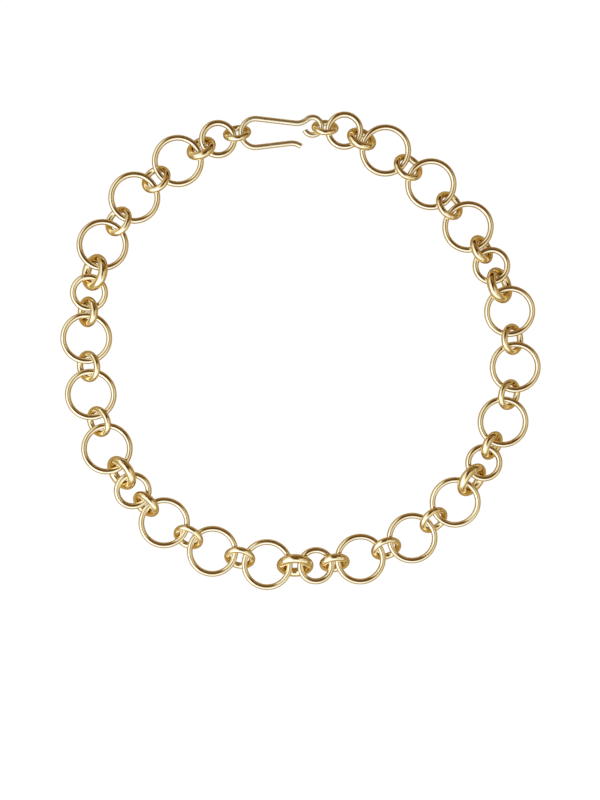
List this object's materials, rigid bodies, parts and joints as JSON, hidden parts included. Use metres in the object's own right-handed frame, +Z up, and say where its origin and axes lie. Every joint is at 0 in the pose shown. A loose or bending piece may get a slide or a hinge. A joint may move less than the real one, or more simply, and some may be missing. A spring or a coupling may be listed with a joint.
{
  "type": "chain necklace",
  "caption": "Polished gold chain necklace of flat round rings joined by thicker leaning links, closed by a bent-wire hook clasp with a curled eye; lies flat in a loop.",
  "frame": {"origin": "on the surface that the necklace lies on, under the middle of its outline", "axes": "+Z up, away from the surface; +Y towards the clasp; +X to the right, towards the eye of the hook, seen from above"},
  "size_m": [0.1576, 0.157, 0.0102],
  "materials": {
    "ring_gold": "mirror-polished pale yellow gold",
    "link_gold": "mirror-polished pale yellow gold, with soldered closures",
    "hook_gold": "polished pale yellow gold wire, with soft draw lines"
  },
  "bodies": {
    "small_ring_04": {"small_ring_04": "ring_gold"},
    "hook": {"hook": "hook_gold"},
    "hook_link": {"hook_link": "link_gold"},
    "small_ring_01": {"small_ring_01": "ring_gold"},
    "heavy_link_01": {"heavy_link_01": "link_gold"},
    "large_ring_01": {"large_ring_01": "ring_gold"},
    "light_link_01": {"light_link_01": "link_gold"},
    "large_ring_02": {"large_ring_02": "ring_gold"},
    "light_link_02": {"light_link_02": "link_gold"},
    "large_ring_03": {"large_ring_03": "ring_gold"},
    "heavy_link_02": {"heavy_link_02": "link_gold"},
    "small_ring_02": {"small_ring_02": "ring_gold"},
    "bold_link_01": {"bold_link_01": "link_gold"},
    "large_ring_04": {"large_ring_04": "ring_gold"},
    "light_link_03": {"light_link_03": "link_gold"},
    "large_ring_05": {"large_ring_05": "ring_gold"},
    "light_link_04": {"light_link_04": "link_gold"},
    "large_ring_06": {"large_ring_06": "ring_gold"},
    "heavy_link_03": {"heavy_link_03": "link_gold"},
    "small_ring_03": {"small_ring_03": "ring_gold"},
    "bold_link_02": {"bold_link_02": "link_gold"},
    "large_ring_07": {"large_ring_07": "ring_gold"},
    "light_link_05": {"light_link_05": "link_gold"},
    "large_ring_08": {"large_ring_08": "ring_gold"},
    "light_link_06": {"light_link_06": "link_gold"},
    "large_ring_09": {"large_ring_09": "ring_gold"},
    "heavy_link_04": {"heavy_link_04": "link_gold"},
    "bold_link_03": {"bold_link_03": "link_gold"},
    "large_ring_10": {"large_ring_10": "ring_gold"},
    "light_link_07": {"light_link_07": "link_gold"},
    "large_ring_11": {"large_ring_11": "ring_gold"},
    "light_link_08": {"light_link_08": "link_gold"},
    "large_ring_12": {"large_ring_12": "ring_gold"},
    "heavy_link_05": {"heavy_link_05": "link_gold"},
    "small_ring_05": {"small_ring_05": "ring_gold"},
    "bold_link_04": {"bold_link_04": "link_gold"},
    "large_ring_13": {"large_ring_13": "ring_gold"},
    "light_link_09": {"light_link_09": "link_gold"},
    "large_ring_14": {"large_ring_14": "ring_gold"},
    "light_link_10": {"light_link_10": "link_gold"},
    "large_ring_15": {"large_ring_15": "ring_gold"},
    "heavy_link_06": {"heavy_link_06": "link_gold"},
    "small_ring_06": {"small_ring_06": "ring_gold"},
    "bold_link_05": {"bold_link_05": "link_gold"},
    "large_ring_16": {"large_ring_16": "ring_gold"},
    "light_link_11": {"light_link_11": "link_gold"},
    "large_ring_17": {"large_ring_17": "ring_gold"},
    "light_link_12": {"light_link_12": "link_gold"},
    "large_ring_18": {"large_ring_18": "ring_gold"},
    "heavy_link_07": {"heavy_link_07": "link_gold"},
    "small_ring_07": {"small_ring_07": "ring_gold"},
    "end_link": {"end_link": "link_gold"}
  },
  "joints": [
    {"name": "fold_01_right", "type": "hinge", "parent": "small_ring_04", "child": "heavy_link_04", "pos_m": [0.00879, -0.06985, 0.00444], "axis": [0.9963, 0.0577, -0.0634], "range_deg": [0, 60]},
    {"name": "fold_01_left", "type": "hinge", "parent": "small_ring_04", "child": "bold_link_03", "pos_m": [0.00084, -0.07031, 0.00495], "axis": [0.9963, 0.0577, -0.0634], "range_deg": [0, 60]},
    {"name": "fold_02_right", "type": "hinge", "parent": "heavy_link_04", "child": "large_ring_09", "pos_m": [0.01325, -0.06922, 0.00425], "axis": [-0.9979, -0.0519, 0.0378], "range_deg": [-4, 60]},
    {"name": "fold_02_left", "type": "hinge", "parent": "bold_link_03", "child": "large_ring_10", "pos_m": [-0.00497, -0.07016, 0.00494], "axis": [-0.9979, -0.0519, 0.0378], "range_deg": [-4, 60]},
    {"name": "fold_03_right", "type": "hinge", "parent": "large_ring_09", "child": "light_link_06", "pos_m": [0.02543, -0.06595, 0.00399], "axis": [0.9982, 0.0595, -0.003], "range_deg": [0, 60]},
    {"name": "fold_03_left", "type": "hinge", "parent": "large_ring_10", "child": "light_link_07", "pos_m": [-0.01748, -0.0685, 0.00412], "axis": [0.9982, 0.0595, -0.003], "range_deg": [0, 60]},
    {"name": "fold_04_right", "type": "hinge", "parent": "light_link_06", "child": "large_ring_08", "pos_m": [0.0308, -0.06378, 0.00393], "axis": [-0.9981, -0.0621, 0], "range_deg": [-3, 60]},
    {"name": "fold_04_left", "type": "hinge", "parent": "light_link_07", "child": "large_ring_11", "pos_m": [-0.02312, -0.06713, 0.00393], "axis": [-0.9981, -0.0621, 0], "range_deg": [-3, 60]},
    {"name": "fold_05_right", "type": "hinge", "parent": "large_ring_08", "child": "light_link_05", "pos_m": [0.04155, -0.0573, 0.00393], "axis": [0.9978, 0.0662, 0], "range_deg": [-3, 60]},
    {"name": "fold_05_left", "type": "hinge", "parent": "large_ring_11", "child": "light_link_08", "pos_m": [-0.03473, -0.06236, 0.00393], "axis": [0.9978, 0.0662, 0], "range_deg": [-3, 60]},
    {"name": "fold_06_right", "type": "hinge", "parent": "light_link_05", "child": "large_ring_07", "pos_m": [0.04598, -0.05356, 0.00412], "axis": [-0.9977, -0.0677, -0.0015], "range_deg": [0, 60]},
    {"name": "fold_06_left", "type": "hinge", "parent": "light_link_08", "child": "large_ring_12", "pos_m": [-0.0397, -0.05937, 0.00399], "axis": [-0.9977, -0.0677, -0.0015], "range_deg": [0, 60]},
    {"name": "fold_07_right", "type": "hinge", "parent": "large_ring_07", "child": "bold_link_02", "pos_m": [0.05451, -0.0443, 0.00494], "axis": [0.9976, 0.0692, 0.0066], "range_deg": [-5, 44]},
    {"name": "fold_07_left", "type": "hinge", "parent": "large_ring_12", "child": "heavy_link_05", "pos_m": [-0.04954, -0.05152, 0.00425], "axis": [0.9976, 0.0692, 0.0066], "range_deg": [-5, 44]},
    {"name": "fold_08_right", "type": "hinge", "parent": "bold_link_02", "child": "small_ring_03", "pos_m": [0.05788, -0.03957, 0.00495], "axis": [-0.9969, -0.0785, -0.0046], "range_deg": [-1, 41]},
    {"name": "fold_08_left", "type": "hinge", "parent": "heavy_link_05", "child": "small_ring_05", "pos_m": [-0.05265, -0.04827, 0.00444], "axis": [-0.9969, -0.0785, -0.0046], "range_deg": [-1, 41]},
    {"name": "fold_09_right", "type": "hinge", "parent": "small_ring_03", "child": "heavy_link_03", "pos_m": [0.06189, -0.03269, 0.00444], "axis": [0.997, 0.0774, -0.0042], "range_deg": [0, 35]},
    {"name": "fold_09_left", "type": "hinge", "parent": "small_ring_05", "child": "bold_link_04", "pos_m": [-0.05749, -0.04196, 0.00495], "axis": [0.997, 0.0774, -0.0042], "range_deg": [0, 35]},
    {"name": "fold_10_right", "type": "hinge", "parent": "heavy_link_03", "child": "large_ring_06", "pos_m": [0.0638, -0.02861, 0.00425], "axis": [-0.9977, -0.0673, 0.0055], "range_deg": [-5, 38]},
    {"name": "fold_10_left", "type": "hinge", "parent": "bold_link_04", "child": "large_ring_13", "pos_m": [-0.06049, -0.03699, 0.00494], "axis": [-0.9977, -0.0673, 0.0055], "range_deg": [-5, 38]},
    {"name": "fold_11_right", "type": "hinge", "parent": "large_ring_06", "child": "light_link_04", "pos_m": [0.06783, -0.01666, 0.00399], "axis": [0.9978, 0.066, -0.001], "range_deg": [0, 24]},
    {"name": "fold_11_left", "type": "hinge", "parent": "large_ring_13", "child": "light_link_09", "pos_m": [-0.06557, -0.02548, 0.00412], "axis": [0.9978, 0.066, -0.001], "range_deg": [0, 24]},
    {"name": "fold_12_right", "type": "hinge", "parent": "light_link_04", "child": "large_ring_05", "pos_m": [0.06905, -0.01098, 0.00393], "axis": [-0.9979, -0.0654, 0], "range_deg": [-5, 19]},
    {"name": "fold_12_left", "type": "hinge", "parent": "light_link_09", "child": "large_ring_14", "pos_m": [-0.06722, -0.01991, 0.00393], "axis": [-0.9979, -0.0654, 0], "range_deg": [-5, 19]},
    {"name": "fold_13_right", "type": "hinge", "parent": "large_ring_05", "child": "light_link_03", "pos_m": [0.06966, 0.00153, 0.00393], "axis": [0.9979, 0.0647, 0], "range_deg": [-5, 8]},
    {"name": "fold_13_left", "type": "hinge", "parent": "large_ring_14", "child": "light_link_10", "pos_m": [-0.06948, -0.00749, 0.00393], "axis": [0.9979, 0.0647, 0], "range_deg": [-5, 8]},
    {"name": "fold_14_right", "type": "hinge", "parent": "light_link_03", "child": "large_ring_04", "pos_m": [0.069, 0.0073, 0.00412], "axis": [0.9979, 0.0647, 0.0009], "range_deg": [0, 11]},
    {"name": "fold_14_left", "type": "hinge", "parent": "light_link_10", "child": "large_ring_15", "pos_m": [-0.06991, -0.0017, 0.00399], "axis": [0.9979, 0.0647, 0.0009], "range_deg": [0, 11]},
    {"name": "fold_15_right", "type": "hinge", "parent": "large_ring_04", "child": "bold_link_01", "pos_m": [0.06584, 0.01947, 0.00494], "axis": [-0.998, -0.0625, -0.0051], "range_deg": [-5, 19]},
    {"name": "fold_15_left", "type": "hinge", "parent": "large_ring_15", "child": "heavy_link_06", "pos_m": [-0.06995, 0.01096, 0.00425], "axis": [-0.998, -0.0625, -0.0051], "range_deg": [-5, 19]},
    {"name": "fold_16_right", "type": "hinge", "parent": "bold_link_01", "child": "small_ring_02", "pos_m": [0.06362, 0.02483, 0.00495], "axis": [0.9975, 0.0701, 0.0038], "range_deg": [0, 16]},
    {"name": "fold_16_left", "type": "hinge", "parent": "heavy_link_06", "child": "small_ring_06", "pos_m": [-0.06964, 0.01546, 0.00444], "axis": [0.9975, 0.0701, 0.0038], "range_deg": [0, 16]},
    {"name": "fold_17_right", "type": "hinge", "parent": "small_ring_02", "child": "heavy_link_02", "pos_m": [0.06, 0.03193, 0.00444], "axis": [-0.9977, -0.0672, 0.0039], "range_deg": [-2, 27]},
    {"name": "fold_17_left", "type": "hinge", "parent": "small_ring_06", "child": "bold_link_05", "pos_m": [-0.06826, 0.02329, 0.00495], "axis": [-0.9977, -0.0672, 0.0039], "range_deg": [-2, 27]},
    {"name": "fold_18_right", "type": "hinge", "parent": "heavy_link_02", "child": "large_ring_03", "pos_m": [0.05766, 0.03578, 0.00425], "axis": [0.9984, 0.0555, -0.0055], "range_deg": [-5, 30]},
    {"name": "fold_18_left", "type": "hinge", "parent": "bold_link_05", "child": "large_ring_16", "pos_m": [-0.06665, 0.02887, 0.00494], "axis": [0.9984, 0.0555, -0.0055], "range_deg": [-5, 30]},
    {"name": "fold_19_right", "type": "hinge", "parent": "large_ring_03", "child": "light_link_02", "pos_m": [0.05014, 0.04595, 0.00399], "axis": [-0.9987, -0.0512, 0.0012], "range_deg": [0, 49]},
    {"name": "fold_19_left", "type": "hinge", "parent": "large_ring_16", "child": "light_link_11", "pos_m": [-0.06135, 0.04023, 0.00412], "axis": [-0.9987, -0.0512, 0.0012], "range_deg": [0, 49]},
    {"name": "fold_20_right", "type": "hinge", "parent": "light_link_02", "child": "large_ring_02", "pos_m": [0.04629, 0.05029, 0.00393], "axis": [0.9987, 0.0501, 0], "range_deg": [-3, 46]},
    {"name": "fold_20_left", "type": "hinge", "parent": "light_link_11", "child": "large_ring_17", "pos_m": [-0.05812, 0.04505, 0.00393], "axis": [0.9987, 0.0501, 0], "range_deg": [-3, 46]},
    {"name": "fold_21_right", "type": "hinge", "parent": "large_ring_02", "child": "light_link_01", "pos_m": [0.03693, 0.05876, 0.00393], "axis": [-0.9987, -0.0503, 0], "range_deg": [-3, 57]},
    {"name": "fold_21_left", "type": "hinge", "parent": "large_ring_17", "child": "light_link_12", "pos_m": [-0.04971, 0.0544, 0.00393], "axis": [-0.9987, -0.0503, 0], "range_deg": [-3, 57]},
    {"name": "fold_22_right", "type": "hinge", "parent": "light_link_01", "child": "large_ring_01", "pos_m": [0.03224, 0.06217, 0.00399], "axis": [0.9986, 0.0521, 0], "range_deg": [-2, 55]},
    {"name": "fold_22_left", "type": "hinge", "parent": "light_link_12", "child": "large_ring_18", "pos_m": [-0.04526, 0.05812, 0.00399], "axis": [0.9986, 0.0521, 0], "range_deg": [-2, 55]},
    {"name": "fold_23_right", "type": "hinge", "parent": "large_ring_01", "child": "heavy_link_01", "pos_m": [0.02136, 0.06862, 0.00425], "axis": [-0.9982, -0.0598, 0], "range_deg": [-5, 55]},
    {"name": "fold_23_left", "type": "hinge", "parent": "large_ring_18", "child": "heavy_link_07", "pos_m": [-0.03483, 0.06525, 0.00425], "axis": [-0.9982, -0.0598, 0], "range_deg": [-5, 55]},
    {"name": "fold_24_right", "type": "hinge", "parent": "heavy_link_01", "child": "small_ring_01", "pos_m": [0.01729, 0.07054, 0.00424], "axis": [0.9979, 0.0649, -0.0007], "range_deg": [-3, 55]},
    {"name": "fold_24_left", "type": "hinge", "parent": "heavy_link_07", "child": "small_ring_07", "pos_m": [-0.03088, 0.06741, 0.00427], "axis": [0.9979, 0.0649, -0.0007], "range_deg": [-3, 55]},
    {"name": "fold_25_right", "type": "hinge", "parent": "small_ring_01", "child": "hook_link", "pos_m": [0.00972, 0.07287, 0.00404], "axis": [-0.9975, -0.071, 0.0044], "range_deg": [-5, 52]},
    {"name": "fold_25_left", "type": "hinge", "parent": "small_ring_07", "child": "end_link", "pos_m": [-0.02355, 0.07051, 0.00419], "axis": [-0.9975, -0.071, 0.0044], "range_deg": [-5, 52]},
    {"name": "hook_roll", "type": "hinge", "parent": "hook_link", "child": "hook", "pos_m": [0.00506, 0.07307, 0.004], "axis": [0.9975, 0.0702, -0.0063], "range_deg": [-2, 57]}
  ],
  "couplings": [
    {"joint": "fold_01_left", "follows": "fold_01_right", "ratio": 1},
    {"joint": "fold_02_left", "follows": "fold_02_right", "ratio": 1},
    {"joint": "fold_03_left", "follows": "fold_03_right", "ratio": 1},
    {"joint": "fold_04_left", "follows": "fold_04_right", "ratio": 1},
    {"joint": "fold_05_left", "follows": "fold_05_right", "ratio": 1},
    {"joint": "fold_06_left", "follows": "fold_06_right", "ratio": 1},
    {"joint": "fold_07_left", "follows": "fold_07_right", "ratio": 1},
    {"joint": "fold_08_left", "follows": "fold_08_right", "ratio": 1},
    {"joint": "fold_09_left", "follows": "fold_09_right", "ratio": 1},
    {"joint": "fold_10_left", "follows": "fold_10_right", "ratio": 1},
    {"joint": "fold_11_left", "follows": "fold_11_right", "ratio": 1},
    {"joint": "fold_12_left", "follows": "fold_12_right", "ratio": 1},
    {"joint": "fold_13_left", "follows": "fold_13_right", "ratio": 1},
    {"joint": "fold_14_left", "follows": "fold_14_right", "ratio": 1},
    {"joint": "fold_15_left", "follows": "fold_15_right", "ratio": 1},
    {"joint": "fold_16_left", "follows": "fold_16_right", "ratio": 1},
    {"joint": "fold_17_left", "follows": "fold_17_right", "ratio": 1},
    {"joint": "fold_18_left", "follows": "fold_18_right", "ratio": 1},
    {"joint": "fold_19_left", "follows": "fold_19_right", "ratio": 1},
    {"joint": "fold_20_left", "follows": "fold_20_right", "ratio": 1},
    {"joint": "fold_21_left", "follows": "fold_21_right", "ratio": 1},
    {"joint": "fold_22_left", "follows": "fold_22_right", "ratio": 1},
    {"joint": "fold_23_left", "follows": "fold_23_right", "ratio": 1},
    {"joint": "fold_24_left", "follows": "fold_24_right", "ratio": 1},
    {"joint": "fold_25_left", "follows": "fold_25_right", "ratio": 1}
  ]
}
